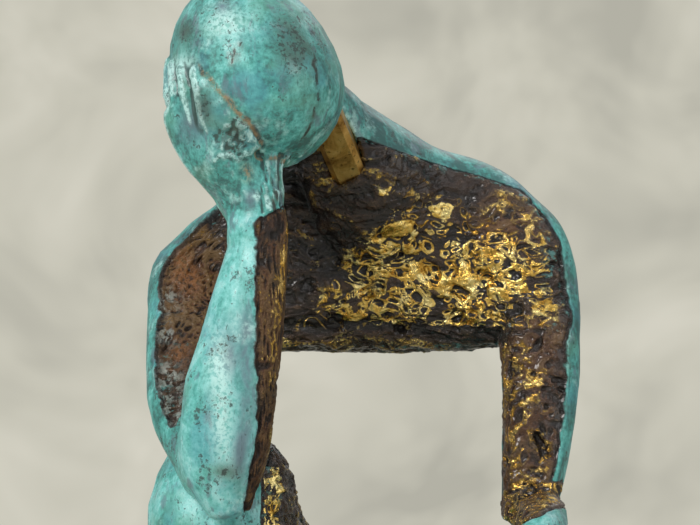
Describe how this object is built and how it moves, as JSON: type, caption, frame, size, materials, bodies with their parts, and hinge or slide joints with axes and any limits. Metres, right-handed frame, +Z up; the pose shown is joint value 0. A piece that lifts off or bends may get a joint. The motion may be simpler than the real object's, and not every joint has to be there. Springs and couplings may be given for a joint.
{
  "type": "thinker statue",
  "caption": "Table-top cast bronze figure, seated with its head on its hand and elbow on its knee, smooth blue-green skin over rough gold-brown faces, on a block and stone plinth.",
  "frame": {"origin": "under the middle of the plinth, on the surface that the rubber feet stand on", "axes": "+Z up, the figure faces -Y, +X is to the viewer's right, which is the figure's left"},
  "size_m": [0.15, 0.176, 0.2884],
  "materials": {
    "patina_bronze": "waxed blue-green patina over cast bronze, rough open faces burnished gold on dark brown",
    "rough_bronze": "rough cast bronze, dark brown in the hollows, burnished gold on the ridges",
    "polished_brass": "polished",
    "black_stone": "polished",
    "steel": "zinc plated",
    "rubber": "matt"
  },
  "bodies": {
    "root": {"head": "patina_bronze", "chest_shell": "patina_bronze", "right_upper_arm": "patina_bronze", "right_forearm": "patina_bronze", "right_hand": "patina_bronze", "left_upper_arm": "patina_bronze", "left_forearm": "patina_bronze", "left_hand": "patina_bronze", "pelvis": "patina_bronze", "right_thigh": "patina_bronze", "left_thigh": "patina_bronze", "right_shin": "patina_bronze", "left_shin": "patina_bronze", "right_foot": "patina_bronze", "left_foot": "patina_bronze", "seat_block": "rough_bronze", "neck_peg": "polished_brass", "right_shoulder_dowel": "polished_brass", "left_shoulder_dowel": "polished_brass", "right_elbow_dowel": "polished_brass", "left_elbow_dowel": "polished_brass", "right_wrist_dowel": "polished_brass", "left_wrist_dowel": "polished_brass", "right_hip_dowel": "polished_brass", "left_hip_dowel": "polished_brass", "right_knee_dowel": "polished_brass", "left_knee_dowel": "polished_brass", "right_ankle_dowel": "polished_brass", "left_ankle_dowel": "polished_brass", "plinth": "black_stone", "right_foot_stud": "steel", "left_foot_stud": "steel", "seat_block_stud": "steel", "right_foot_washer": "steel", "left_foot_washer": "steel", "seat_block_washer": "steel", "right_foot_nut": "steel", "left_foot_nut": "steel", "seat_block_nut": "steel", "rubber_foot_1": "rubber", "rubber_foot_2": "rubber", "rubber_foot_3": "rubber", "rubber_foot_4": "rubber"}
  },
  "joints": []
}
